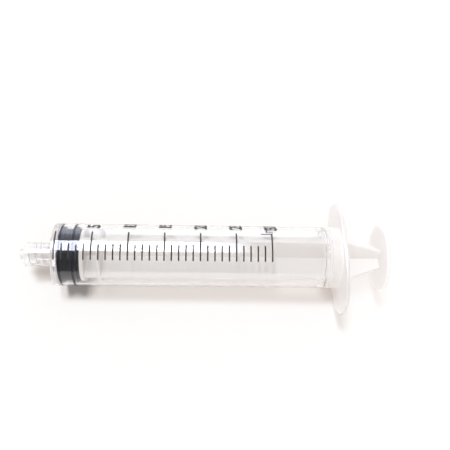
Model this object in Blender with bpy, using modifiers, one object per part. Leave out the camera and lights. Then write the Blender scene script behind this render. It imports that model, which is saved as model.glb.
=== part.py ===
"""A 30 ml luer lock syringe, empty, its plunger pushed home, lying on its nose rim and its finger flange.

Metres, +Z up, the nozzle towards -X. The three mouldings are modelled upright on their common axis, nozzle
down, with the barrel's nose face at height zero. One empty, syringe_axis, then lays them on the table.
"""

import math

import bmesh
import bpy

# Barrel: tube and end wall
BORE_RADIUS = 0.0109
BARREL_WALL = 0.0010
END_WALL = 0.0012            # at the middle
FLOOR_RISE = 0.0008          # the bore's floor climbs this much from the middle to the wall
NOSE_EDGE = 0.0005           # rounded outer edge of the nose

# Barrel: luer tip and lock collar
TIP_REACH = 0.0132           # nose face to the tip's end
TIP_END_RADIUS = 0.00197
TIP_TAPER_SHARE = 0.03       # the luer cone: radius gained for each unit of length
TIP_BORE_RADIUS = 0.00105
TIP_EDGE = 0.00015
COLLAR_LENGTH = 0.0111       # the tip stands 2.1 mm proud of it
COLLAR_BORE_RADIUS = 0.0040
COLLAR_WALL = 0.0006
COLLAR_ROOT = 0.0018         # solid foot between the collar's floor and the nose face
COLLAR_EDGE = 0.0002

# Barrel: lock thread, right-handed, two starts
THREAD_STARTS = 2
THREAD_LEAD = 0.00508
THREAD_HEIGHT = 0.0005
THREAD_ROOT_WIDTH = 0.0012
THREAD_CREST_WIDTH = 0.0005
THREAD_SEAT = 0.0003         # how far its root is sunk in the collar's wall
THREAD_MARGIN = 0.0010       # plain wall left at the floor and at the mouth

# Barrel: finger flange and the retaining bead in front of it
FLANGE_FRONT = 0.1086        # nose face to the flange's front face
FLANGE_THICKNESS = 0.0015
FLANGE_HALF_LENGTH = 0.0229
FLANGE_HALF_WIDTH = 0.0133
FLANGE_STRAIGHT = 0.0100     # straight stretch in the middle of each long side
FLANGE_EDGE = 0.0005
FLANGE_FILLET = 0.0006
MOUTH_RELIEF = 0.00035       # the bore opens this much wider in the flange
BEAD_HEIGHT = 0.0005
BEAD_LENGTH = 0.0014
BEAD_SETBACK = 0.0052        # bead's rear end to the flange's front face

# Gaps
SEAT_GAP = 0.0003            # between pieces that touch on the real syringe
ROD_GAP = 0.0009             # between the rod's discs and the bore

# Stopper
STOPPER_LENGTH = 0.0077      # at its outer edge
SEAL_LENGTH = 0.0016
SEAL_CROWN = 0.0004          # rounding of each sealing ring's edges
WAIST_DEPTH = 0.0007         # the rings stand this proud of the waist
REAR_BAND = 0.0011           # plain band behind the second ring
STOPPER_LIP = 0.0015         # rubber behind the rod's head

# Plunger rod
HEAD_RADIUS = 0.0049
HEAD_LENGTH = 0.0034
HEAD_EDGE = 0.0008
NECK_RADIUS = 0.0033
FRONT_DISC_THICKNESS = 0.0015
GUIDE_DISC_THICKNESS = 0.0013
GUIDE_DISC_SPACING = 0.0049  # front disc's rear face to the guide disc's front face
RIB_THICKNESS = 0.0014
RIB_RELIEF = 0.0001          # the ribs stand this much inside the discs' edges
RIB_TAPER_LENGTH = 0.0136    # the ribs narrow over this length under the thumb rest
RIB_END_RADIUS = 0.0047
ROD_STAND_OUT = 0.0149       # flange's rear face to the thumb rest's inner face
ROD_TURN = math.radians(-10.7)  # its ribs about the axis, from the flange's two axes
THUMB_RADIUS = 0.0130
THUMB_THICKNESS = 0.0015
THUMB_EDGE = 0.0005

# Facets
TURN_STEPS = 48
ARC_STEPS = 3
FLANGE_END_STEPS = 18
THREAD_STEPS_PER_TURN = 24
WELD = 0.000001

# Places worked out from the sizes above
BARREL_RADIUS = BORE_RADIUS + BARREL_WALL
COLLAR_RADIUS = COLLAR_BORE_RADIUS + COLLAR_WALL
FLANGE_REAR = FLANGE_FRONT + FLANGE_THICKNESS
TUBE_END = FLANGE_FRONT + FLANGE_THICKNESS / 2
BEAD_REAR = FLANGE_FRONT - BEAD_SETBACK
FLOOR_EDGE = END_WALL + FLOOR_RISE
SEAL_RADIUS = BORE_RADIUS - SEAT_GAP
WAIST_RADIUS = SEAL_RADIUS - WAIST_DEPTH
STOPPER_FRONT = FLOOR_EDGE + SEAT_GAP
STOPPER_REAR = STOPPER_FRONT + STOPPER_LENGTH
POCKET_TOP = STOPPER_REAR - STOPPER_LIP
HEAD_TOP = POCKET_TOP - SEAT_GAP
HEAD_BOTTOM = HEAD_TOP - HEAD_LENGTH
POCKET_BOTTOM = HEAD_BOTTOM - SEAT_GAP
FRONT_DISC_BOTTOM = STOPPER_REAR + SEAT_GAP
FRONT_DISC_TOP = FRONT_DISC_BOTTOM + FRONT_DISC_THICKNESS
GUIDE_DISC_BOTTOM = FRONT_DISC_TOP + GUIDE_DISC_SPACING
ROD_RADIUS = BORE_RADIUS - ROD_GAP
RIB_RADIUS = ROD_RADIUS - RIB_RELIEF
THUMB_BOTTOM = FLANGE_REAR + ROD_STAND_OUT
THUMB_TOP = THUMB_BOTTOM + THUMB_THICKNESS


def clear_scene():
    """Remove the objects that the scene starts with."""
    for thing in list(bpy.data.objects):
        bpy.data.objects.remove(thing, do_unlink=True)


def new_collection(name):
    """A collection in the scene."""
    collection = bpy.data.collections.new(name)
    bpy.context.scene.collection.children.link(collection)
    return collection


def new_material(name, colour, roughness):
    """A Principled BSDF material in one colour, which is red, green, blue and alpha."""
    material = bpy.data.materials.new(name)
    material.use_nodes = True
    shader = material.node_tree.nodes["Principled BSDF"]
    shader.inputs["Base Color"].default_value = (*colour[:3], 1)
    shader.inputs["Alpha"].default_value = colour[3]
    shader.inputs["Roughness"].default_value = roughness
    shader.inputs["Metallic"].default_value = 0
    return material


def arc(radius, height, bend, start, end):
    """Profile points on an arc about (radius, height), from one angle to another, in degrees."""
    points = []
    for i in range(ARC_STEPS + 1):
        angle = math.radians(start + (end - start) * i / ARC_STEPS)
        points.append((radius + bend * math.cos(angle), height + bend * math.sin(angle)))
    return points


def turned(name, profile, closed):
    """An object turned about Z from (radius, height) points, which run down its outer side."""
    mesh = bpy.data.meshes.new(name)
    shape = bmesh.new()
    corners = [shape.verts.new((radius, 0, height)) for radius, height in profile]
    for first, second in zip(corners, corners[1:]):
        shape.edges.new((first, second))
    if closed:
        shape.edges.new((corners[-1], corners[0]))
    shape.to_mesh(mesh)
    shape.free()
    thing = bpy.data.objects.new(name, mesh)
    screw = thing.modifiers.new("turning", "SCREW")
    screw.axis = "Z"
    screw.steps = TURN_STEPS
    screw.render_steps = TURN_STEPS
    screw.use_merge_vertices = True
    screw.merge_threshold = WELD
    screw.use_smooth_shade = True
    return thing


def plate(name, outline, thickness):
    """A flat plate in XY with the given outline, centred on its thickness."""
    curve = bpy.data.curves.new(name, "CURVE")
    curve.dimensions = "2D"
    curve.fill_mode = "BOTH"
    curve.extrude = thickness / 2
    spline = curve.splines.new("POLY")
    spline.points.add(len(outline) - 1)
    for point, (x, y) in zip(spline.points, outline):
        point.co = (x, y, 0, 1)
    spline.use_cyclic_u = True
    drawing = bpy.data.objects.new(name, curve)
    bpy.context.scene.collection.objects.link(drawing)
    graph = bpy.context.evaluated_depsgraph_get()
    mesh = bpy.data.meshes.new_from_object(drawing.evaluated_get(graph))
    bpy.data.objects.remove(drawing)
    shape = bmesh.new()
    shape.from_mesh(mesh)
    bmesh.ops.remove_doubles(shape, verts=shape.verts, dist=WELD)
    bmesh.ops.dissolve_limit(shape, angle_limit=math.radians(0.1), verts=shape.verts, edges=shape.edges)
    bmesh.ops.recalc_face_normals(shape, faces=shape.faces)
    shape.to_mesh(mesh)
    shape.free()
    return bpy.data.objects.new(name, mesh)


def disc(name, radius, bottom, thickness):
    """A plain disc on the axis."""
    mesh = bpy.data.meshes.new(name)
    shape = bmesh.new()
    bmesh.ops.create_cone(
        shape, cap_ends=True, segments=TURN_STEPS, radius1=radius, radius2=radius, depth=thickness
    )
    shape.to_mesh(mesh)
    shape.free()
    thing = bpy.data.objects.new(name, mesh)
    thing.location = (0, 0, bottom + thickness / 2)
    return thing


def round_edges(thing, width):
    """Round the sharp edges of an object."""
    bevel = thing.modifiers.new("rounded_edges", "BEVEL")
    bevel.width = width
    bevel.segments = 2
    bevel.limit_method = "ANGLE"
    bevel.angle_limit = math.radians(60)


def combine(thing, operation, others, cutters):
    """Fuse other shapes into an object, or cut them out of it. They stay in the file as guides."""
    for other in others:
        cutters.objects.link(other)
        other.parent = thing
        other.hide_render = True
        other.display_type = "WIRE"
        step = thing.modifiers.new(f"{operation.lower()}_{other.name}", "BOOLEAN")
        step.operation = operation
        step.solver = "EXACT"
        step.object = other


def smooth_shading(thing, angle):
    """Shade an object smooth, with edges sharper than the angle kept."""
    thing.data.shade_smooth()
    thing.data.set_sharp_from_angle(angle=math.radians(angle))


def tip_radius(height):
    """Outer radius of the luer cone at a height."""
    return TIP_END_RADIUS + TIP_TAPER_SHARE * (height + TIP_REACH)


def tube_profile():
    """Section of the barrel without its flange: down the outside, then up the luer bore and the main bore."""
    outside = [
        (BARREL_RADIUS + FLANGE_FILLET, TUBE_END),
        (BARREL_RADIUS + FLANGE_FILLET, FLANGE_FRONT),
        (BARREL_RADIUS, FLANGE_FRONT - FLANGE_FILLET),
        *arc(BARREL_RADIUS - NOSE_EDGE, NOSE_EDGE, NOSE_EDGE, 0, -90),
    ]
    collar = [
        (COLLAR_RADIUS, 0),
        (COLLAR_RADIUS, COLLAR_EDGE - COLLAR_LENGTH),
        (COLLAR_RADIUS - COLLAR_EDGE, -COLLAR_LENGTH),
        (COLLAR_BORE_RADIUS + COLLAR_EDGE, -COLLAR_LENGTH),
        (COLLAR_BORE_RADIUS, COLLAR_EDGE - COLLAR_LENGTH),
        (COLLAR_BORE_RADIUS, -COLLAR_ROOT),
    ]
    tip = [
        (tip_radius(-COLLAR_ROOT), -COLLAR_ROOT),
        (tip_radius(TIP_EDGE - TIP_REACH), TIP_EDGE - TIP_REACH),
        (TIP_END_RADIUS - TIP_EDGE, -TIP_REACH),
        (TIP_BORE_RADIUS, -TIP_REACH),
        (TIP_BORE_RADIUS, END_WALL),
    ]
    bore = [
        (BORE_RADIUS, FLOOR_EDGE),
        (BORE_RADIUS, BEAD_REAR - BEAD_LENGTH),
        (BORE_RADIUS - BEAD_HEIGHT, BEAD_REAR - BEAD_LENGTH + BEAD_HEIGHT),
        (BORE_RADIUS - BEAD_HEIGHT, BEAD_REAR - BEAD_HEIGHT),
        (BORE_RADIUS, BEAD_REAR),
        (BORE_RADIUS, TUBE_END),
    ]
    return outside + collar + tip + bore


def flange_outline():
    """The finger flange seen along the syringe: straight in the middle of its sides, then two half ellipses."""
    straight = FLANGE_STRAIGHT / 2
    wing = FLANGE_HALF_LENGTH - straight
    points = []
    for side in (1, -1):
        for i in range(FLANGE_END_STEPS + 1):
            angle = math.pi * i / FLANGE_END_STEPS
            x = FLANGE_HALF_WIDTH * math.cos(angle) * side
            y = (straight + wing * math.sin(angle)) * side
            points.append((x, y))
    return points


def flange_plate(cutters):
    """The finger flange, with the mouth of the bore through it."""
    flange = plate("flange_plate", flange_outline(), FLANGE_THICKNESS)
    flange.location = (0, 0, TUBE_END)
    round_edges(flange, FLANGE_EDGE)
    mouth = disc("mouth_cutter", BORE_RADIUS + MOUTH_RELIEF, -FLANGE_THICKNESS, FLANGE_THICKNESS * 2)
    combine(flange, "DIFFERENCE", [mouth], cutters)
    return flange


def thread_ridge(start):
    """One start of the lock thread: a tapered ridge swept along a right-handed helix inside the collar."""
    bottom = THREAD_MARGIN + THREAD_ROOT_WIDTH / 2 - COLLAR_LENGTH
    rise = COLLAR_LENGTH - COLLAR_ROOT - THREAD_ROOT_WIDTH - THREAD_MARGIN * 2
    turns = rise / THREAD_LEAD
    steps = round(turns * THREAD_STEPS_PER_TURN)
    crest = COLLAR_BORE_RADIUS - THREAD_HEIGHT
    section = [
        (COLLAR_BORE_RADIUS + THREAD_SEAT, bottom - THREAD_ROOT_WIDTH / 2),
        (COLLAR_BORE_RADIUS + THREAD_SEAT, bottom + THREAD_ROOT_WIDTH / 2),
        (crest, bottom + THREAD_CREST_WIDTH / 2),
        (crest, bottom - THREAD_CREST_WIDTH / 2),
    ]
    mesh = bpy.data.meshes.new(f"thread_ridge_{start}")
    shape = bmesh.new()
    face = shape.faces.new([shape.verts.new((radius, 0, height)) for radius, height in section])
    bmesh.ops.spin(
        shape,
        geom=[*face.verts, *face.edges, face],
        cent=(0, 0, 0),
        axis=(0, 0, 1),
        dvec=(0, 0, rise / steps),
        angle=2 * math.pi * turns,
        steps=steps,
        use_merge=False,
        use_duplicate=False,
    )
    bmesh.ops.recalc_face_normals(shape, faces=shape.faces)
    shape.to_mesh(mesh)
    shape.free()
    ridge = bpy.data.objects.new(mesh.name, mesh)
    ridge.rotation_euler = (0, 0, 2 * math.pi * start / THREAD_STARTS)
    return ridge


def build_barrel(cutters):
    """The barrel: tube, end wall, luer tip, threaded collar and finger flange, one moulding."""
    barrel = turned("barrel", tube_profile(), closed=True)
    ridges = [thread_ridge(start) for start in range(THREAD_STARTS)]
    combine(barrel, "UNION", [flange_plate(cutters), *ridges], cutters)
    barrel.data.materials.append(new_material("clear_polypropylene", (0.86, 0.87, 0.89, 0.35), 0.12))
    return barrel


def floor_height(radius):
    """Height of the bore's coned floor at a radius."""
    return END_WALL + FLOOR_RISE * (radius - TIP_BORE_RADIUS) / (BORE_RADIUS - TIP_BORE_RADIUS)


def seal(bottom):
    """One sealing ring's profile, from its upper to its lower edge."""
    middle = SEAL_RADIUS - SEAL_CROWN
    top = bottom + SEAL_LENGTH
    upper = arc(middle, top - SEAL_CROWN, SEAL_CROWN, 90, 0)
    lower = arc(middle, bottom + SEAL_CROWN, SEAL_CROWN, 0, -90)
    return upper + lower


def build_stopper():
    """The rubber stopper: two sealing rings, a low cone in front, and a pocket for the rod's head."""
    pocket_radius = HEAD_RADIUS + SEAT_GAP
    mouth_radius = NECK_RADIUS + SEAT_GAP
    pocket = [
        (0, POCKET_BOTTOM),
        (pocket_radius, POCKET_BOTTOM),
        (pocket_radius, POCKET_TOP),
        (mouth_radius, POCKET_TOP),
        (mouth_radius, STOPPER_REAR),
    ]
    rear_seal = STOPPER_REAR - REAR_BAND - SEAL_LENGTH
    outside = [
        (WAIST_RADIUS, STOPPER_REAR),
        (WAIST_RADIUS, STOPPER_REAR - REAR_BAND),
        *seal(rear_seal),
        (WAIST_RADIUS, rear_seal),
        (WAIST_RADIUS, STOPPER_FRONT + SEAL_LENGTH),
        *seal(STOPPER_FRONT),
        (0, floor_height(0) + SEAT_GAP),
    ]
    stopper = turned("rubber_stopper", pocket + outside, closed=False)
    stopper.data.materials.append(new_material("black_rubber", (0.012, 0.013, 0.018, 1), 0.45))
    return stopper


def head_profile():
    """The rod's front disc, its neck and the head that the stopper snaps over."""
    return [
        (0, FRONT_DISC_TOP),
        (ROD_RADIUS, FRONT_DISC_TOP),
        (ROD_RADIUS, FRONT_DISC_BOTTOM),
        (NECK_RADIUS, FRONT_DISC_BOTTOM),
        (NECK_RADIUS, HEAD_TOP),
        (HEAD_RADIUS, HEAD_TOP),
        (HEAD_RADIUS, HEAD_BOTTOM + HEAD_EDGE),
        (HEAD_RADIUS - HEAD_EDGE, HEAD_BOTTOM),
        (0, HEAD_BOTTOM),
    ]


def thumb_profile():
    """The round thumb rest, with a rounded rim."""
    rim = THUMB_RADIUS - THUMB_EDGE
    return [
        (0, THUMB_TOP),
        *arc(rim, THUMB_TOP - THUMB_EDGE, THUMB_EDGE, 90, 0),
        *arc(rim, THUMB_BOTTOM + THUMB_EDGE, THUMB_EDGE, 0, -90),
        (0, THUMB_BOTTOM),
    ]


def rib_outline():
    """A pair of opposite ribs, as one flat plate: X is the radius and Y the height."""
    bottom = FRONT_DISC_BOTTOM + FRONT_DISC_THICKNESS / 2
    top = THUMB_BOTTOM + THUMB_THICKNESS / 2
    shoulder = THUMB_BOTTOM - RIB_TAPER_LENGTH
    right = [(RIB_RADIUS, bottom), (RIB_RADIUS, shoulder), (RIB_END_RADIUS, top)]
    left = [(-x, y) for x, y in reversed(right)]
    return right + left


def rib_pair(name, turn):
    """Two opposite ribs, stood upright and turned about the axis."""
    ribs = plate(name, rib_outline(), RIB_THICKNESS)
    ribs.rotation_euler = (math.pi / 2, 0, turn)
    return ribs


def build_rod(cutters):
    """The plunger rod: head, discs, four ribs and thumb rest, one moulding."""
    rod = turned("plunger_rod", head_profile(), closed=False)
    shapes = [
        rib_pair("rib_pair_0", 0),
        rib_pair("rib_pair_1", math.pi / 2),
        disc("guide_disc", ROD_RADIUS, GUIDE_DISC_BOTTOM, GUIDE_DISC_THICKNESS),
        turned("thumb_rest", thumb_profile(), closed=False),
    ]
    combine(rod, "UNION", shapes, cutters)
    rod.rotation_euler = (0, 0, ROD_TURN)
    rod.data.materials.append(new_material("milky_polypropylene", (0.90, 0.90, 0.91, 0.75), 0.30))
    return rod


def lay_down(pieces):
    """Lay the syringe on the table, on its nose rim and its flange, with its middle over the origin."""
    run = FLANGE_FRONT + FLANGE_EDGE - NOSE_EDGE
    tilt = math.asin((FLANGE_HALF_WIDTH - BARREL_RADIUS) / run)
    low_end = -TIP_REACH * math.cos(tilt) - TIP_END_RADIUS * math.sin(tilt)
    high_end = THUMB_TOP * math.cos(tilt) + THUMB_RADIUS * math.sin(tilt)
    nose_drop = BARREL_RADIUS - NOSE_EDGE + NOSE_EDGE / math.cos(tilt)
    axis = bpy.data.objects.new("syringe_axis", None)
    axis.location = (-(low_end + high_end) / 2, 0, nose_drop * math.cos(tilt) - NOSE_EDGE * math.sin(tilt))
    axis.rotation_euler = (0, math.pi / 2 - tilt, 0)
    for piece in pieces:
        piece.parent = axis
    return axis


def main():
    clear_scene()
    syringe = new_collection("luer_lock_syringe")
    cutters = new_collection("cutters")
    pieces = [build_barrel(cutters), build_stopper(), build_rod(cutters)]
    syringe.objects.link(lay_down(pieces))
    for piece in pieces:
        syringe.objects.link(piece)
        smooth_shading(piece, 35)


main()
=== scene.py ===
# %% [markdown]
# # A luer lock syringe in clear and milky polypropylene
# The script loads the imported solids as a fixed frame, builds a finer piece over each of them, gives every
# piece a procedural finish, and sets the light and the camera. Each step says what the thing is on the real
# syringe, how it could be made, and why it is made this way here.

# %% Load the frame
import math

import bmesh
import bpy
from mathutils import Matrix, Vector


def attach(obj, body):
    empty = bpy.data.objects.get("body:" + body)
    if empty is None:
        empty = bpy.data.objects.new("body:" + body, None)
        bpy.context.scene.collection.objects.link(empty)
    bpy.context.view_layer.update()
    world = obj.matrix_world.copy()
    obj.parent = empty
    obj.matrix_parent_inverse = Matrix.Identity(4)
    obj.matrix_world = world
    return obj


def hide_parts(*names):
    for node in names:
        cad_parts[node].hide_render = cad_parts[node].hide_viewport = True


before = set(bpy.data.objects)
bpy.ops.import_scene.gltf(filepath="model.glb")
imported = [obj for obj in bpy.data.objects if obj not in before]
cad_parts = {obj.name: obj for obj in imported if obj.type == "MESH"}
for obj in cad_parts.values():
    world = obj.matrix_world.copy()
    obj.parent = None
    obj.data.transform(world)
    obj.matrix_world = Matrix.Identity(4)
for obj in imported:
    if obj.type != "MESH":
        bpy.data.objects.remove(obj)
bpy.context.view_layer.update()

print("solids loaded:", sorted(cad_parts))

# %% [markdown]
# ## The syringe's sizes
# All three mouldings are turned about one axis, so each is drawn upright on Z, nozzle down, with height zero
# at the barrel's nose face. One matrix then lays every finished mesh where the solids lie: on the rim of the
# nose and on the long side of the finger flange, which tips the syringe by less than a degree.

# %% Sizes shared by the pieces, in metres
BORE = 0.0109
WALL = 0.0010
BARREL = BORE + WALL
NOSE_EDGE = 0.0005
TIP_REACH = 0.0132
TIP_END = 0.00197
FLANGE_FRONT = 0.1086
FLANGE_THICKNESS = 0.0015
FLANGE_HALF_WIDTH = 0.0133
FLANGE_EDGE = 0.0005
THUMB_BOTTOM = 0.1250
THUMB_THICKNESS = 0.0015
THUMB_RADIUS = 0.0130
THUMB_TOP = THUMB_BOTTOM + THUMB_THICKNESS

run = FLANGE_FRONT + FLANGE_EDGE - NOSE_EDGE
tilt = math.asin((FLANGE_HALF_WIDTH - BARREL) / run)
low_end = -TIP_REACH * math.cos(tilt) - TIP_END * math.sin(tilt)
high_end = THUMB_TOP * math.cos(tilt) + THUMB_RADIUS * math.sin(tilt)
nose_rim = BARREL - NOSE_EDGE + NOSE_EDGE / math.cos(tilt)
axis_height = nose_rim * math.cos(tilt) - NOSE_EDGE * math.sin(tilt)
LAID = Matrix.Translation((-(low_end + high_end) / 2, 0, axis_height)) @ Matrix.Rotation(
    math.pi / 2 - tilt, 4, "Y"
)
print(f"axis {axis_height * 1000:.2f} mm above the table at the nose")
print(f"tipped {math.degrees(tilt):.2f} degrees")

# %% [markdown]
# ## Shared helpers
# A turned moulding is a section spun about the axis, as a lathe or a round mould cavity makes it. Rounded
# corners are arcs in the section, so they cost one line each and need no bevel afterwards.

# %% Sections and turning
TURN_STEPS = 144
SAME_POINT = 0.000001


def arc(radius, height, bend, start, end, steps=5):
    """Section points on an arc about (radius, height), from one angle to another, in degrees."""
    angles = [math.radians(start + (end - start) * i / steps) for i in range(steps + 1)]
    return [(radius + bend * math.cos(a), height + bend * math.sin(a)) for a in angles]


def rim(radius, bottom, top, bend, steps=3):
    """A disc's rounded rim in section, from its upper to its lower edge."""
    return [
        *arc(radius - bend, top - bend, bend, 90, 0, steps),
        *arc(radius - bend, bottom + bend, bend, 0, -90, steps),
    ]


def turned(section, closed=False):
    """A bmesh spun about Z from (radius, height) points."""
    shape = bmesh.new()
    corners = [shape.verts.new((radius, 0, height)) for radius, height in section]
    edges = [shape.edges.new(pair) for pair in zip(corners, corners[1:])]
    if closed:
        edges.append(shape.edges.new((corners[-1], corners[0])))
    bmesh.ops.spin(
        shape, geom=corners + edges, cent=(0, 0, 0), axis=(0, 0, 1), angle=2 * math.pi,
        steps=TURN_STEPS, use_merge=True, use_duplicate=False,
    )
    bmesh.ops.remove_doubles(shape, verts=shape.verts, dist=SAME_POINT)
    bmesh.ops.recalc_face_normals(shape, faces=shape.faces)
    return shape


print("a turned shape has", TURN_STEPS, "steps")

# %% [markdown]
# Where a flat part meets a turned one, an exact boolean joins the two, because real moulded plastic has no
# seam there. The two shapes could simply overlap, but clear plastic would show the walls inside.


# %% Joining two shapes
def as_object(shape, name):
    """An object with the bmesh as its mesh."""
    mesh = bpy.data.meshes.new(name)
    shape.to_mesh(mesh)
    shape.free()
    thing = bpy.data.objects.new(name, mesh)
    bpy.context.scene.collection.objects.link(thing)
    return thing


def joined(shape, others, operation="UNION"):
    """The bmesh with the others fused to it, or cut out of it."""
    base = as_object(shape, "base")
    helpers = [as_object(other, "helper") for other in others]
    for helper in helpers:
        step = base.modifiers.new("join", "BOOLEAN")
        step.operation = operation
        step.solver = "EXACT"
        step.object = helper
    result = bmesh.new()
    result.from_object(base, bpy.context.evaluated_depsgraph_get())
    for thing in [base, *helpers]:
        bpy.data.objects.remove(thing)
    bmesh.ops.remove_doubles(result, verts=result.verts, dist=2 * SAME_POINT)
    return result


print("shapes are joined by exact booleans")

# %% [markdown]
# Every piece is finished in one way. It is laid on the table, shaded smooth with its corners kept sharp, and
# given normals weighted by face size, because a flat wall that shades as if it were bent shows at once in
# clear plastic.

# %% Finishing a piece
CREASE = 32


def finished(shape, name, body, material):
    """Lay the shape on the table and make it a smooth-shaded piece that moves with a body."""
    bmesh.ops.transform(shape, matrix=LAID, verts=shape.verts)
    piece = as_object(shape, name)
    piece.data.materials.append(material)
    piece.data.shade_smooth()
    piece.data.set_sharp_from_angle(angle=math.radians(CREASE))
    flat_faces = piece.modifiers.new("flat_faces_stay_flat", "WEIGHTED_NORMAL")
    flat_faces.weight = 100
    flat_faces.keep_sharp = True
    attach(piece, body)
    print(f"{name}: {len(piece.data.polygons)} faces, moves with {body}")
    return piece


print(f"edges bent by more than {CREASE} degrees stay sharp")

# %% [markdown]
# ## Helpers for finishes
# A finish is a Principled shader whose colour, gloss and normal each follow a faint pattern. The pattern is
# noise on object coordinates, drawn out along the syringe, as plastic flows along a mould. A noise rarely
# leaves the middle of its range, so a number is spread over that middle only.

# %% Patterns on a finish
NOISE_LOW, NOISE_HIGH = 0.2, 0.8


def new_material(name):
    """A material, its Principled shader and its output."""
    material = bpy.data.materials.new(name)
    material.use_nodes = True
    nodes = material.node_tree.nodes
    return material, nodes["Principled BSDF"], nodes["Material Output"]


def noise(material, scale, stretch, detail=3.0):
    """Noise on object coordinates, stretched along the syringe, with scale in cells for each metre."""
    nodes, links = material.node_tree.nodes, material.node_tree.links
    place = nodes.new("ShaderNodeTexCoord")
    mapping = nodes.new("ShaderNodeMapping")
    mapping.inputs["Scale"].default_value = (scale / stretch, scale, scale)
    mapping.inputs["Rotation"].default_value = (0, tilt, 0)
    pattern = nodes.new("ShaderNodeTexNoise")
    pattern.inputs["Scale"].default_value = 1
    pattern.inputs["Detail"].default_value = detail
    links.new(place.outputs["Object"], mapping.inputs["Vector"])
    links.new(mapping.outputs["Vector"], pattern.inputs["Vector"])
    return pattern.outputs["Fac"]


def spread(material, source, low, high, socket):
    """Drive a number on a shader by a pattern, between two values."""
    nodes, links = material.node_tree.nodes, material.node_tree.links
    reach = nodes.new("ShaderNodeMapRange")
    reach.inputs["From Min"].default_value = NOISE_LOW
    reach.inputs["From Max"].default_value = NOISE_HIGH
    reach.inputs["To Min"].default_value = low
    reach.inputs["To Max"].default_value = high
    links.new(source, reach.inputs["Value"])
    links.new(reach.outputs["Result"], socket)


def tinted(material, source, first, second, socket):
    """Drive a colour by a pattern, between two colours."""
    nodes, links = material.node_tree.nodes, material.node_tree.links
    blend = nodes.new("ShaderNodeMix")
    blend.data_type = "RGBA"
    blend.inputs["A"].default_value = (*first, 1)
    blend.inputs["B"].default_value = (*second, 1)
    links.new(source, blend.inputs["Factor"])
    links.new(blend.outputs["Result"], socket)


def rippled(material, source, height, socket):
    """Drive a shader's normal by a pattern of a given height in metres."""
    nodes, links = material.node_tree.nodes, material.node_tree.links
    bump = nodes.new("ShaderNodeBump")
    bump.inputs["Strength"].default_value = 1
    bump.inputs["Distance"].default_value = height
    links.new(source, bump.inputs["Height"])
    links.new(bump.outputs["Normal"], socket)


print(f"patterns are turned by {math.degrees(tilt):.2f} degrees, to run along the syringe")

# %% [markdown]
# ## Clear polypropylene
# The barrel's plastic is clear with a very faint haze, and it bends light: what is inside looks as wide as
# the barrel itself. A see-through alpha would be simpler, but it would show the stopper too narrow, so this
# is real refraction. Its two ends are cloudier, because the mould is textured there for grip: the lock
# collar a little and the flange much more. One helper blends a number from end to end along the barrel.

# %% Textured ends
NOSE_X = (LAID @ Vector((0, 0, 0))).x
FLANGE_X = (LAID @ Vector((0, 0, FLANGE_FRONT))).x
NOZZLE_BLEND = (NOSE_X + 0.0022, NOSE_X + 0.0010)
FLANGE_BLEND = (FLANGE_X - 0.0085, FLANGE_X - 0.0030)


def textured_ends(material, middle, nozzle, flange):
    """A number that changes where the mould is textured: at the nozzle and at the flange."""
    nodes, links = material.node_tree.nodes, material.node_tree.links
    place = nodes.new("ShaderNodeTexCoord")
    along = nodes.new("ShaderNodeSeparateXYZ")
    links.new(place.outputs["Object"], along.inputs["Vector"])
    value = middle
    for (start, end), goal in ((NOZZLE_BLEND, nozzle), (FLANGE_BLEND, flange)):
        share = nodes.new("ShaderNodeMapRange")
        share.inputs["From Min"].default_value = start
        share.inputs["From Max"].default_value = end
        links.new(along.outputs["X"], share.inputs["Value"])
        step = nodes.new("ShaderNodeMix")
        links.new(share.outputs["Result"], step.inputs["Factor"])
        step.inputs["B"].default_value = goal
        if isinstance(value, float):
            step.inputs["A"].default_value = value
        else:
            links.new(value, step.inputs["A"])
        value = step.outputs["Result"]
    return value


print(f"clear from x {NOZZLE_BLEND[0] * 1000:.1f} to {FLANGE_BLEND[0] * 1000:.1f} mm")

# %% [markdown]
# Light that is refracted twice by each wall takes a renderer very long to trace back to a lamp. So lamps and
# bounced light pass straight through both plastics by a Light Path switch, a little tinted where they graze
# a wall or cross a cloudy part, which lights the rod and the table under the barrel without noise.

# %% Letting light through
GRAZING_BLEND = 0.15


def lets_light_through(material, surface, output, tint, edge, cloudy=0.0):
    """Rays from lamps and matt surfaces go straight through, tinted where they graze or it is cloudy."""
    nodes, links = material.node_tree.nodes, material.node_tree.links
    path = nodes.new("ShaderNodeLightPath")
    either = nodes.new("ShaderNodeMath")
    either.operation = "MAXIMUM"
    straight = nodes.new("ShaderNodeBsdfTransparent")
    grazing = nodes.new("ShaderNodeLayerWeight")
    grazing.inputs["Blend"].default_value = GRAZING_BLEND
    shade = nodes.new("ShaderNodeMath")
    shade.operation = "MAXIMUM"
    links.new(grazing.outputs["Facing"], shade.inputs[0])
    if isinstance(cloudy, float):
        shade.inputs[1].default_value = cloudy
    else:
        links.new(cloudy, shade.inputs[1])
    tinted(material, shade.outputs["Value"], tint, edge, straight.inputs["Color"])
    switch = nodes.new("ShaderNodeMixShader")
    links.new(path.outputs["Is Shadow Ray"], either.inputs[0])
    links.new(path.outputs["Is Diffuse Ray"], either.inputs[1])
    links.new(either.outputs["Value"], switch.inputs["Fac"])
    links.new(surface, switch.inputs[1])
    links.new(straight.outputs["BSDF"], switch.inputs[2])
    links.new(switch.outputs["Shader"], output.inputs["Surface"])


print("light passes straight through plastic, tinted where it grazes")

# %% [markdown]
# The clear finish puts these together. Its ripples are drawn out forty to one along the axis and only a
# micron and a half high: they stand for the polish of the mould, and break the highlight up a little.

# %% The clear finish
PLASTIC_IOR = 1.49

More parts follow.
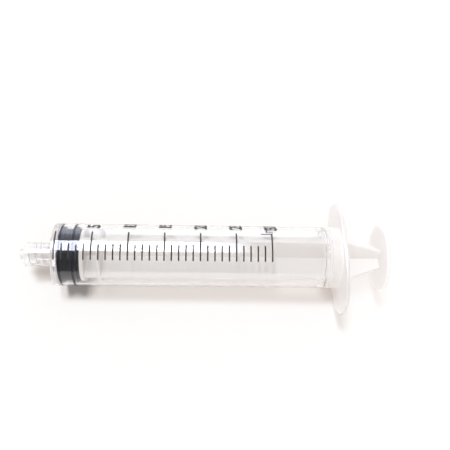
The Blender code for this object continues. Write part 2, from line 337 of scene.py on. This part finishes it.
clear, clear_shader, clear_output = new_material("clear_polypropylene")
clear_shader.inputs["IOR"].default_value = PLASTIC_IOR
clear.node_tree.links.new(
    textured_ends(clear, middle=0.99, nozzle=0.84, flange=0.58), clear_shader.inputs["Transmission Weight"]
)
clear.node_tree.links.new(
    textured_ends(clear, middle=0.04, nozzle=0.07, flange=0.32), clear_shader.inputs["Roughness"]
)
tinted(
    clear, noise(clear, 90, 6), (0.985, 0.99, 1.0), (0.995, 0.99, 0.985), clear_shader.inputs["Base Color"]
)
rippled(clear, noise(clear, 300, 40, 2.0), 0.0000015, clear_shader.inputs["Normal"])
lets_light_through(
    clear, clear_shader.outputs["BSDF"], clear_output, tint=(0.99, 0.985, 0.98), edge=(0.66, 0.60, 0.57),
    cloudy=textured_ends(clear, middle=0.0, nozzle=0.40, flange=0.45),
)
print("clear finish:", clear.name)

# %% [markdown]
# ## The barrel
# One moulding: tube, end wall, luer tip, threaded lock collar and finger flange. The section runs down the
# outside, round the collar and the tip, then up the luer bore and the main bore, so one closed spin gives
# every wall its true thickness, which refraction needs. A low bead inside the open end keeps the stopper
# from being pulled out.

# %% The tube's section
COLLAR_LENGTH = 0.0111
COLLAR_BORE = 0.0040
COLLAR_RADIUS = 0.0046
COLLAR_ROOT = 0.0018
COLLAR_LIP = 0.0002
LUER_BORE = 0.00105
LUER_TAPER = 0.03
TIP_ROUND = 0.00025
FLOOR_MIDDLE = 0.0012
FLOOR_EDGE = 0.0020
CORNER = 0.0003
FLANGE_FILLET = 0.0006
BEAD_HEIGHT = 0.0005
BEAD_LENGTH = 0.0014
BEAD_REAR = FLANGE_FRONT - 0.0052
BEAD_STEPS = 8
TUBE_END = FLANGE_FRONT + FLANGE_THICKNESS / 2

outside = [
    (BARREL + FLANGE_FILLET, TUBE_END),
    *arc(BARREL + FLANGE_FILLET, FLANGE_FRONT - FLANGE_FILLET, FLANGE_FILLET, 90, 180),
    (BARREL, FLANGE_FRONT - FLANGE_FILLET - CORNER),
    (BARREL, NOSE_EDGE + CORNER),
    *arc(BARREL - NOSE_EDGE, NOSE_EDGE, NOSE_EDGE, 0, -90),
]
collar = [
    *arc(COLLAR_RADIUS + CORNER, -CORNER, CORNER, 90, 180, 3),
    (COLLAR_RADIUS, -CORNER - COLLAR_LIP),
    (COLLAR_RADIUS, 2 * COLLAR_LIP - COLLAR_LENGTH),
    *arc(COLLAR_RADIUS - COLLAR_LIP, COLLAR_LIP - COLLAR_LENGTH, COLLAR_LIP, 0, -90, 3),
    *arc(COLLAR_BORE + COLLAR_LIP, COLLAR_LIP - COLLAR_LENGTH, COLLAR_LIP, -90, -180, 3),
    (COLLAR_BORE, 2 * COLLAR_LIP - COLLAR_LENGTH),
    (COLLAR_BORE, -COLLAR_ROOT),
]
tip = [
    (TIP_END + LUER_TAPER * (TIP_REACH - COLLAR_ROOT), -COLLAR_ROOT),
    (TIP_END + LUER_TAPER * 2 * TIP_ROUND, 2 * TIP_ROUND - TIP_REACH),
    *arc(TIP_END - TIP_ROUND, TIP_ROUND - TIP_REACH, TIP_ROUND, 0, -90, 3),
    *arc(LUER_BORE + 0.0001, 0.0001 - TIP_REACH, 0.0001, -90, -180, 2),
    (LUER_BORE, FLOOR_MIDDLE),
]
bead = []
for i in range(BEAD_STEPS + 1):
    swell = BEAD_HEIGHT / 2 * (1 - math.cos(2 * math.pi * i / BEAD_STEPS))
    bead.append((BORE - swell, BEAD_REAR - BEAD_LENGTH * (BEAD_STEPS - i) / BEAD_STEPS))
bore = [
    *arc(BORE - CORNER, FLOOR_EDGE + CORNER, CORNER, -80, 0, 3),
    (BORE, FLOOR_EDGE + 0.0005),
    (BORE, BEAD_REAR - BEAD_LENGTH - 0.0002),
    *bead,
    (BORE, BEAD_REAR + 0.0002),
    (BORE, TUBE_END),
]
barrel = turned(outside + collar + tip + bore, closed=True)
print("tube faces:", len(barrel.faces))

# %% [markdown]
# The flange is a plate, straight in the middle of its long sides and half an ellipse at each end. A circle
# is stretched to the ellipse, its two halves are pulled apart, and the disc is extruded and bevelled. The
# bore's mouth is cut through it a little wider, with a chamfer, where the stopper enters.

# %% The finger flange
FLANGE_HALF_LENGTH = 0.0229
FLANGE_STRAIGHT = 0.0100
MOUTH = BORE + 0.00035
MOUTH_CHAMFER = 0.0003

flange = bmesh.new()
bmesh.ops.create_circle(flange, cap_ends=True, segments=128, radius=1)
wing = FLANGE_HALF_LENGTH - FLANGE_STRAIGHT / 2
bmesh.ops.scale(flange, vec=(FLANGE_HALF_WIDTH, wing, 1), verts=flange.verts)
for side in (1, -1):
    half = [v for v in flange.verts if v.co.y * side > 0.00001]
    bmesh.ops.translate(flange, vec=(0, side * FLANGE_STRAIGHT / 2, 0), verts=half)
bmesh.ops.translate(flange, vec=(0, 0, FLANGE_FRONT), verts=flange.verts)
grown = bmesh.ops.extrude_face_region(flange, geom=flange.faces[:])["geom"]
raised = [v for v in grown if isinstance(v, bmesh.types.BMVert)]
bmesh.ops.translate(flange, vec=(0, 0, FLANGE_THICKNESS), verts=raised)
bmesh.ops.recalc_face_normals(flange, faces=flange.faces)
rims = [e for e in flange.edges if e.calc_face_angle(0) > 1.2]
bmesh.ops.bevel(
    flange, geom=rims, offset=FLANGE_EDGE, offset_type="OFFSET", affect="EDGES", segments=4, profile=0.5,
    material=-1,
)
flange_back = FLANGE_FRONT + FLANGE_THICKNESS
mouth = turned([
    (0, FLANGE_FRONT - 0.001), (MOUTH, FLANGE_FRONT - 0.001), (MOUTH, flange_back - MOUTH_CHAMFER),
    (MOUTH + MOUTH_CHAMFER, flange_back), (MOUTH + MOUTH_CHAMFER, FLANGE_FRONT + 0.003),
    (0, FLANGE_FRONT + 0.003),
])
flange = joined(flange, [mouth], "DIFFERENCE")
print("flange faces:", len(flange.faces))

# %% [markdown]
# The lock thread is a double-start, right-handed ridge inside the collar. It is one small section spun with
# a rise for each step, twice, half a turn apart. Its foot is sunk in the wall so the boolean has something
# to hold.

# %% The lock thread and the finished barrel
THREAD_LEAD = 0.00508
THREAD_START = 0.0016
THREAD_RISE = COLLAR_LENGTH - COLLAR_ROOT - 0.0032
THREAD_STEPS_A_TURN = 60
RIDGE_HEIGHT = 0.0005
RIDGE_FOOT = 0.0003


def thread_ridge(turn):
    """One start of the thread, begun at an angle about the axis."""
    shape = bmesh.new()
    bottom = THREAD_START - COLLAR_LENGTH
    foot, shoulder, crest = COLLAR_BORE + RIDGE_FOOT, COLLAR_BORE - 0.0004, COLLAR_BORE - RIDGE_HEIGHT
    section = [
        (foot, bottom - 0.0006), (foot, bottom + 0.0006), (shoulder, bottom + 0.0003),
        (crest, bottom + 0.0002), (crest, bottom - 0.0002), (shoulder, bottom - 0.0003),
    ]
    face = shape.faces.new([shape.verts.new((radius, 0, height)) for radius, height in section])
    steps = round(THREAD_RISE / THREAD_LEAD * THREAD_STEPS_A_TURN)
    bmesh.ops.spin(
        shape, geom=[*face.verts, *face.edges, face], cent=(0, 0, 0), axis=(0, 0, 1),
        dvec=(0, 0, THREAD_RISE / steps), angle=2 * math.pi * THREAD_RISE / THREAD_LEAD,
        steps=steps, use_merge=False, use_duplicate=False,
    )
    bmesh.ops.rotate(shape, cent=(0, 0, 0), matrix=Matrix.Rotation(turn, 3, "Z"), verts=shape.verts)
    bmesh.ops.recalc_face_normals(shape, faces=shape.faces)
    return shape


barrel = joined(barrel, [flange, thread_ridge(0), thread_ridge(math.pi)])
barrel_piece = finished(barrel, "barrel_moulding", "barrel", clear)
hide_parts("barrel")

# %% [markdown]
# ## Black rubber
# The stopper is soft black rubber wetted by a film of silicone oil, so it is matt underneath with a thin
# gloss over it. The film is a weak coat, and a slow noise in the roughness makes its cover patchy. A fine
# grain keeps the matt part from looking like paint.

# %% The rubber finish
rubber, rubber_shader, _ = new_material("black_rubber")
tinted(
    rubber, noise(rubber, 700, 1), (0.002, 0.0025, 0.0055), (0.005, 0.006, 0.011),
    rubber_shader.inputs["Base Color"],
)
spread(rubber, noise(rubber, 400, 1), 0.32, 0.50, rubber_shader.inputs["Roughness"])
rippled(rubber, noise(rubber, 2500, 1, 4.0), 0.000012, rubber_shader.inputs["Normal"])
rubber_shader.inputs["Specular IOR Level"].default_value = 0.15
rubber_shader.inputs["Coat Weight"].default_value = 0.10
rubber_shader.inputs["Coat Roughness"].default_value = 0.12
print("rubber finish:", rubber.name)

# %% [markdown]
# ## The stopper
# A turned rubber cup: two sealing rings with a waist between them, a low cone in front that matches the
# bore's floor, and a pocket that snaps over the rod's head. The rings are squeezed against the bore. Here
# they reach a fiftieth of a millimetre into the wall, so that no air is left between, and the rubber shows
# black through the clear plastic as it does on the real one.

# %% The rubber stopper
STOPPER_FRONT = 0.0023
STOPPER_REAR = 0.0100
SEAL = BORE + 0.00002
WAIST = BORE - 0.0010
WAIST_FILLET = 0.0003
RING_ROUND = 0.0005
NOSE_ROUND = 0.0006
FRONT_RING_TOP = 0.0039
REAR_RING = (0.0073, 0.0089)
POCKET = 0.0052
POCKET_MOUTH = 0.0036
POCKET_BOTTOM, POCKET_TOP = 0.0045, 0.0085


def ring_above(top):
    """The section from the waist over a ring's upper edge."""
    return arc(WAIST + WAIST_FILLET, top + WAIST_FILLET, WAIST_FILLET, 180, 270, 3)


stopper = turned([
    (0, POCKET_BOTTOM), (POCKET, POCKET_BOTTOM), (POCKET, POCKET_TOP), (POCKET_MOUTH, POCKET_TOP),
    (POCKET_MOUTH, STOPPER_REAR),
    *arc(WAIST - 0.0002, STOPPER_REAR - 0.0002, 0.0002, 90, 0, 3),
    *ring_above(REAR_RING[1]),
    *rim(SEAL, *REAR_RING, RING_ROUND, 6),
    *arc(WAIST + WAIST_FILLET, REAR_RING[0] - WAIST_FILLET, WAIST_FILLET, 90, 180, 3),
    *ring_above(FRONT_RING_TOP),
    *arc(SEAL - RING_ROUND, FRONT_RING_TOP - RING_ROUND, RING_ROUND, 90, 0, 6),
    *arc(SEAL - NOSE_ROUND, STOPPER_FRONT + NOSE_ROUND, NOSE_ROUND, 0, -80, 6),
    (0, FLOOR_MIDDLE + 0.0003),
])
stopper_piece = finished(stopper, "stopper_moulding", "stopper", rubber)
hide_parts("rubber_stopper")

# %% [markdown]
# ## Milky polypropylene
# The rod is the same plastic without the clarifier, so light scatters inside it and some comes out on the
# far side. Its ribs are little more than a millimetre thick, so a share of Translucent gives that look
# without the noise and the cost of subsurface scattering. Flow from the mould shows as a faint change of
# colour and gloss.

# %% The milky finish
THROUGH_SHARE = 0.25

milky, milky_shader, milky_output = new_material("milky_polypropylene")
tinted(
    milky, noise(milky, 120, 8), (0.955, 0.96, 0.97), (0.975, 0.97, 0.965), milky_shader.inputs["Base Color"]
)
spread(milky, noise(milky, 160, 5, 1.0), 0.29, 0.35, milky_shader.inputs["Roughness"])
rippled(milky, noise(milky, 900, 10, 3.0), 0.000003, milky_shader.inputs["Normal"])
milky_shader.inputs["IOR"].default_value = PLASTIC_IOR
glowing = milky.node_tree.nodes.new("ShaderNodeBsdfTranslucent")
glowing.inputs["Color"].default_value = (0.975, 0.975, 0.98, 1)
half_lit = milky.node_tree.nodes.new("ShaderNodeMixShader")
half_lit.inputs["Fac"].default_value = THROUGH_SHARE
milky.node_tree.links.new(milky_shader.outputs["BSDF"], half_lit.inputs[1])
milky.node_tree.links.new(glowing.outputs["BSDF"], half_lit.inputs[2])
lets_light_through(
    milky, half_lit.outputs["Shader"], milky_output, tint=(0.96, 0.945, 0.935), edge=(0.86, 0.83, 0.81)
)
print("milky finish:", milky.name)

# %% [markdown]
# ## The plunger rod
# Two crossing pairs of ribs run from a front disc to the thumb rest, past a guide disc that keeps them
# centred in the bore. Each pair of ribs is one thin plate, made from a box whose ends are moved in to the
# taper under the thumb rest. Long edges are softened as a mould leaves them.

# %% Ribs
ROD = BORE - 0.0009
ROD_TURN = math.radians(-10.7)
RIB_HALF_WIDTH = ROD - 0.0001
RIB_THICKNESS = 0.0014
RIB_TAPER = 0.0136
RIB_END = 0.0047
RIB_OVERLAP = 0.0007
RIB_EDGE = 0.0003
DISC_BOTTOM = STOPPER_REAR + 0.0003


def rib_pair(turn):
    """Two opposite ribs as one plate with softened long edges."""
    shape = bmesh.new()
    bottom, shoulder, top = DISC_BOTTOM + RIB_OVERLAP, THUMB_BOTTOM - RIB_TAPER, THUMB_BOTTOM + RIB_OVERLAP
    bmesh.ops.create_cube(shape, size=1)
    bmesh.ops.scale(shape, vec=(2 * RIB_HALF_WIDTH, RIB_THICKNESS, top - bottom), verts=shape.verts)
    bmesh.ops.translate(shape, vec=(0, 0, (top + bottom) / 2), verts=shape.verts)
    bmesh.ops.bisect_plane(
        shape, geom=[*shape.verts, *shape.edges, *shape.faces], plane_co=(0, 0, shoulder), plane_no=(0, 0, 1)
    )
    ends = [v for v in shape.verts if v.co.z > top - 0.0001]
    bmesh.ops.scale(shape, vec=(RIB_END / RIB_HALF_WIDTH, 1, 1), verts=ends)
    outer = []
    for edge in shape.edges:
        first, second = edge.verts
        if min(abs(first.co.x), abs(second.co.x)) > 0.004 and abs(first.co.z - second.co.z) > 0.001:
            outer.append(edge)
    bmesh.ops.bevel(
        shape, geom=outer, offset=RIB_EDGE, offset_type="OFFSET", affect="EDGES", segments=3, profile=0.5,
        material=-1,
    )
    bmesh.ops.rotate(shape, cent=(0, 0, 0), matrix=Matrix.Rotation(turn, 3, "Z"), verts=shape.verts)
    bmesh.ops.recalc_face_normals(shape, faces=shape.faces)
    return shape


print(f"ribs {2000 * RIB_HALF_WIDTH:.1f} mm across and {1000 * RIB_THICKNESS:.1f} mm thick")

# %% [markdown]
# The discs, the snap head and the thumb rest are turned. The thumb rest's outer face is hollowed by a tenth
# of a millimetre, with a dimple in the middle, where the plastic is let into the mould.

# %% Discs, head and thumb rest, joined to the ribs
DISC_TOP = 0.0118
DISC_EDGE = 0.0003
NECK = 0.0033
HEAD_TOP, HEAD_BOTTOM = 0.0082, 0.0048
HEAD_RADIUS = 0.0049
HEAD_ROUND = 0.0008
GUIDE_BOTTOM, GUIDE_TOP = 0.0167, 0.0180
THUMB_EDGE = 0.0006
HOLLOW = 0.00008
DIMPLE = 0.0002

rod = turned([
    (0, DISC_TOP), *rim(ROD, DISC_BOTTOM, DISC_TOP, DISC_EDGE), (NECK, DISC_BOTTOM), (NECK, HEAD_TOP),
    *arc(HEAD_RADIUS - DISC_EDGE, HEAD_TOP - DISC_EDGE, DISC_EDGE, 90, 0, 3),
    *arc(HEAD_RADIUS - HEAD_ROUND, HEAD_BOTTOM + HEAD_ROUND, HEAD_ROUND, 0, -90, 4), (0, HEAD_BOTTOM),
])
guide = turned([(0, GUIDE_TOP), *rim(ROD, GUIDE_BOTTOM, GUIDE_TOP, DISC_EDGE), (0, GUIDE_BOTTOM)])
thumb = turned([
    (0, THUMB_TOP - DIMPLE), (0.0020, THUMB_TOP - DIMPLE), (0.0022, THUMB_TOP - HOLLOW),
    (0.0106, THUMB_TOP - HOLLOW), (0.0110, THUMB_TOP),
    *rim(THUMB_RADIUS, THUMB_BOTTOM, THUMB_TOP, THUMB_EDGE, 6), (0, THUMB_BOTTOM),
])
rod = joined(rod, [rib_pair(ROD_TURN), rib_pair(ROD_TURN + math.pi / 2), guide, thumb])
rod_piece = finished(rod, "plunger_rod_moulding", "rod", milky)
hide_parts("plunger_rod")

# %% [markdown]
# ## The printed scale
# The scale is a thin film of dark brown ink on the barrel: thirty-one lines, one for each millilitre, with a
# longer line and a number at every fifth. Ink could be drawn by a material, but crisp edges on clear plastic
# come out best as real, very thin shapes, which also move and export with the barrel.

# %% The ink
INK_FILM = 0.00002

ink, ink_shader, _ = new_material("printing_ink")
tinted(
    ink, noise(ink, 1500, 1), (0.030, 0.024, 0.024), (0.058, 0.046, 0.044), ink_shader.inputs["Base Color"]
)
spread(ink, noise(ink, 900, 1), 0.60, 0.80, ink_shader.inputs["Roughness"])
ink_shader.inputs["Specular IOR Level"].default_value = 0.25
print("ink:", ink.name)

# %% [markdown]
# Each line is one short edge swept round the barrel, then given the film's thickness. The spacing isn't
# typed in: it is the height of one millilitre in this bore, so the scale is right for the syringe.

# %% Lines
MILLILITRE = 0.000001 / (math.pi * BORE**2)
ZERO = 0.0015
LINE_WIDTH = 0.00055
LINE_START = 56.4
SHORT_END, LONG_END = 85.2, 112.3
STEP_ANGLE = 0.03


def on_barrel(angle, height):
    """A point on the barrel. Angles go up from level on the near side, over the top to the far side."""
    radius = BARREL + INK_FILM / 2
    return Vector((-math.sin(angle) * radius, -math.cos(angle) * radius, height))


def print_line(shape, height, start, end):
    """One line of the scale, swept round the barrel between two angles in degrees."""
    start, end = math.radians(start), math.radians(end)
    ends = [shape.verts.new(on_barrel(start, height + side * LINE_WIDTH / 2)) for side in (1, -1)]
    edge = shape.edges.new(ends)
    bmesh.ops.spin(
        shape, geom=[*ends, edge], cent=(0, 0, 0), axis=(0, 0, -1), angle=end - start,
        steps=round((end - start) / STEP_ANGLE), use_merge=False, use_duplicate=False,
    )


lines = bmesh.new()
for number in range(31):
    print_line(lines, ZERO + number * MILLILITRE, LINE_START, LONG_END if number % 5 == 0 else SHORT_END)
bmesh.ops.recalc_face_normals(lines, faces=lines.faces)
bmesh.ops.solidify(lines, geom=lines.faces[:], thickness=INK_FILM)
bmesh.ops.recalc_face_normals(lines, faces=lines.faces)
line_piece = finished(lines, "scale_lines", "barrel", ink)

# %% [markdown]
# The numbers stand with their tops towards the nozzle and are read up the barrel. Each one is a text object
# made a mesh, with its strokes made heavier. All are scaled alike, so that two digits have the width and the
# height of the printed ones.

# %% Flat text
NUMBER_HEIGHT = 0.0050
DIGIT_PAIR_WIDTH = 0.0071
STROKE_WEIGHT = 0.022


def flat_text(words):
    """The words as a flat mesh, in units of one line of text."""
    curve = bpy.data.curves.new("words", "FONT")
    curve.body = words
    curve.offset = STROKE_WEIGHT
    curve.resolution_u = 4
    thing = bpy.data.objects.new("words", curve)
    bpy.context.scene.collection.objects.link(thing)
    mesh = bpy.data.meshes.new_from_object(thing.evaluated_get(bpy.context.evaluated_depsgraph_get()))
    bpy.data.objects.remove(thing)
    shape = bmesh.new()
    shape.from_mesh(mesh)
    bpy.data.meshes.remove(mesh)
    return shape


def extent(shape):
    """Lowest x, lowest y, width and height of a flat shape."""
    xs, ys = [v.co.x for v in shape.verts], [v.co.y for v in shape.verts]
    return min(xs), min(ys), max(xs) - min(xs), max(ys) - min(ys)


pair = flat_text("30")
_, pair_low, pair_width, pair_height = extent(pair)
pair.free()
stretch = Vector((DIGIT_PAIR_WIDTH / pair_width, NUMBER_HEIGHT / pair_height, 1))
print("text is scaled by", [round(part, 5) for part in stretch])

# %% [markdown]
# A flat number is then cut into narrow strips and bent round the barrel. The strips matter: a long triangle
# would cut straight through the curved wall. A one is a narrow digit, so a number that begins with it starts
# a little further in.

# %% Numbers
NUMBER_START = math.radians(123.0)
ONE_INSET = 0.0009
STRIP = 0.0004

numbers = bmesh.new()
for number in range(5, 31, 5):
    text = flat_text("30ml" if number == 30 else str(number))
    left = extent(text)[0] - (ONE_INSET / stretch.x if str(number).startswith("1") else 0)
    bmesh.ops.translate(text, vec=(-left, -pair_low - pair_height / 2, 0), verts=text.verts)
    bmesh.ops.scale(text, vec=stretch, verts=text.verts)
    for cut in range(1, int(extent(text)[2] / STRIP) + 1):
        bmesh.ops.bisect_plane(
            text, geom=[*text.verts, *text.edges, *text.faces], dist=SAME_POINT / 10,
            plane_co=(cut * STRIP, 0, 0), plane_no=(1, 0, 0),
        )
    height = ZERO + number * MILLILITRE
    for v in text.verts:
        v.co = on_barrel(NUMBER_START + v.co.x / BARREL, height - v.co.y)
    last = max(math.atan2(-v.co.x, -v.co.y) % (2 * math.pi) for v in text.verts)
    print(number, "ends at", round(math.degrees(last), 1), "degrees")
    mesh = bpy.data.meshes.new("number")
    text.to_mesh(mesh)
    text.free()
    numbers.from_mesh(mesh)
    bpy.data.meshes.remove(mesh)
bmesh.ops.remove_doubles(numbers, verts=numbers.verts, dist=SAME_POINT)
for face in numbers.faces:
    face.normal_update()
    middle = face.calc_center_median()
    if face.normal.dot(Vector((middle.x, middle.y, 0))) < 0:
        face.normal_flip()
bmesh.ops.solidify(numbers, geom=numbers.faces[:], thickness=INK_FILM)
bmesh.ops.recalc_face_normals(numbers, faces=numbers.faces)
number_piece = finished(numbers, "scale_numbers", "barrel", ink)

# %% [markdown]
# ## The table
# The syringe lies on a white table-top, lit by one long soft box overhead. The table is a large white plane
# that keeps the shadows. It has no gloss of its own, so nothing is mirrored in it.

# %% The table
TABLE_HALF = 6
TABLE_WHITE = (0.94, 0.94, 0.94, 1)

table_shape = bmesh.new()
bmesh.ops.create_grid(table_shape, x_segments=1, y_segments=1, size=TABLE_HALF)
table = as_object(table_shape, "table")
table_finish, table_shader, _ = new_material("white_table")
table_shader.inputs["Base Color"].default_value = TABLE_WHITE
table_shader.inputs["Roughness"].default_value = 0.9
table_shader.inputs["Specular IOR Level"].default_value = 0.0
table.data.materials.append(table_finish)
print("table laid")

# %% [markdown]
# ## The room
# The soft box could be one strong lamp, but then its bright band on the barrel would come with too much
# light on everything else. So the room is split by the kind of ray: the world draws what gloss sees, gives
# matt surfaces a fill light, and shows plain white to the camera and through glass. The world's nodes do
# their sums on the direction in which a ray leaves.

# %% Node helpers for the room
room = bpy.data.worlds.new("studio")
bpy.context.scene.world = room
room.use_nodes = True
nodes, links = room.node_tree.nodes, room.node_tree.links
nodes.clear()


def ramp(source, start, end, low=0.0, high=1.0):
    """A value that goes from low to high while the source goes from start to end, and stays there."""
    reach = nodes.new("ShaderNodeMapRange")
    reach.inputs["From Min"].default_value = start
    reach.inputs["From Max"].default_value = end
    reach.inputs["To Min"].default_value = low
    reach.inputs["To Max"].default_value = high
    links.new(source, reach.inputs["Value"])
    return reach.outputs["Result"]


def combined(operation, first, second):
    """Two values put through one arithmetic operation."""
    step = nodes.new("ShaderNodeMath")
    step.operation = operation
    for socket, value in zip(step.inputs, (first, second)):
        if isinstance(value, float):
            socket.default_value = value
        else:
            links.new(value, socket)
    return step.outputs["Value"]


ray = nodes.new("ShaderNodeLightPath").outputs
way = nodes.new("ShaderNodeTexCoord")
parts = nodes.new("ShaderNodeSeparateXYZ")
links.new(way.outputs["Generated"], parts.inputs["Vector"])
east, north, up = parts.outputs
print("room helpers ready")

# %% [markdown]
# Gloss sees a studio: a dim front, a lighter back with a bluish window low in it, and a long soft box
# overhead whose right end fades out. The soft box is drawn by slopes, north over up and east over up, so
# that its edges are straight lines on the ceiling.

# %% What gloss sees
SOFT_BOX = 18.0
FRONT_WALL, BACK_WALL, WINDOW = 0.09, 0.90, 1.1
DAYLIGHT = (0.88, 0.93, 1.10, 1)

walls = ramp(north, 0.20, 0.55, FRONT_WALL, BACK_WALL)
window = combined("MULTIPLY", ramp(up, 0.56, 0.50, 0.0, WINDOW), ramp(north, 0.55, 0.65))
slope, side_slope = combined("DIVIDE", north, up), combined("DIVIDE", east, up)
across = combined("MULTIPLY", ramp(slope, -0.175, -0.155), ramp(slope, 0.56, 0.535))
along = combined("MULTIPLY", ramp(side_slope, -1.25, -1.15), ramp(side_slope, 0.10, -0.02))
above = combined("MULTIPLY", ramp(up, 0.1, 0.2), SOFT_BOX)
soft_box = combined("MULTIPLY", combined("MULTIPLY", across, along), above)
studio = combined("ADD", combined("ADD", walls, window), soft_box)
print("studio drawn for gloss")

# %% [markdown]
# The camera, and glass in front of nothing, see plain white of strength one instead. A mix by Is Glossy Ray
# picks between the two.

# %% White for the camera
brightness = nodes.new("ShaderNodeMix")
brightness.data_type = "FLOAT"
brightness.inputs["A"].default_value = 1.0
links.new(ray["Is Glossy Ray"], brightness.inputs["Factor"])
links.new(studio, brightness.inputs["B"])
daylight = nodes.new("ShaderNodeMix")
daylight.data_type = "RGBA"
daylight.inputs["A"].default_value = (1, 1, 1, 1)
daylight.inputs["B"].default_value = DAYLIGHT
links.new(ray["Is Glossy Ray"], daylight.inputs["Factor"])
shown = nodes.new("ShaderNodeBackground")
links.new(daylight.outputs["Result"], shown.inputs["Color"])
links.new(brightness.outputs["Result"], shown.inputs["Strength"])
print("white shown to the camera")

# %% [markdown]
# Matt surfaces get a fill light from the same world: dim overhead, where the sun lamp does the work, and
# bright near the horizon, as white walls and a white table would make it. It is slightly warm, which tints
# the shadows.

# %% What matt surfaces see
FILL_OVERHEAD, FILL_HORIZON = 0.10, 3.20
FILL_COLOUR = (1.0, 0.96, 0.93, 1)

fill = nodes.new("ShaderNodeBackground")
fill.inputs["Color"].default_value = FILL_COLOUR
low_down = combined("POWER", ramp(up, 0.0, 1.0, 1.0, 0.0), 3.0)
links.new(ramp(low_down, 0.0, 1.0, FILL_OVERHEAD, FILL_HORIZON), fill.inputs["Strength"])
seen = combined("MAXIMUM", ray["Is Camera Ray"], ray["Is Glossy Ray"])
seen = combined("MAXIMUM", seen, ray["Is Transmission Ray"])
either = nodes.new("ShaderNodeMixShader")
links.new(seen, either.inputs["Fac"])
links.new(fill.outputs["Background"], either.inputs[1])
links.new(shown.outputs["Background"], either.inputs[2])
room_output = nodes.new("ShaderNodeOutputWorld")
links.new(either.outputs["Shader"], room_output.inputs["Surface"])
print("fill light set")

# %% [markdown]
# The soft box's light on the table is a wide sun, tipped a little to the back and to the nozzle's side. A
# sun lights the whole table evenly, where an area lamp this close would leave the far table dark in low
# views.

# %% The lamp
sun_light = bpy.data.lights.new("soft_sun", "SUN")
sun_light.energy = 2.34
sun_light.angle = math.radians(14)
sun = bpy.data.objects.new("soft_sun", sun_light)
sun_way = Vector((-0.156, 0.174, 0.985))
sun.location = sun_way
sun.rotation_euler = sun_way.to_track_quat("Z", "Y").to_euler()
sun.visible_glossy = False
sun.visible_transmission = False
bpy.context.scene.collection.objects.link(sun)
print("lamp:", sun.name)

# %% [markdown]
# ## The camera
# It looks down on the syringe at about sixty degrees, from a quarter of a metre, almost square to its
# length. Its place comes from fitting the scale lines and the barrel's edges.

# %% The camera
camera_data = bpy.data.cameras.new("camera")
camera_data.lens = 47.2
camera_data.sensor_width = 36
camera_data.clip_start = 0.01
camera = bpy.data.objects.new("camera", camera_data)
camera.location = (-0.00767, -0.09534, 0.22175)
camera.rotation_euler = [math.radians(angle) for angle in (27.556, -3.984, -0.723)]
bpy.context.scene.collection.objects.link(camera)
bpy.context.scene.camera = camera
bpy.context.scene.view_settings.view_transform = "Standard"
print("camera at", tuple(camera.location))
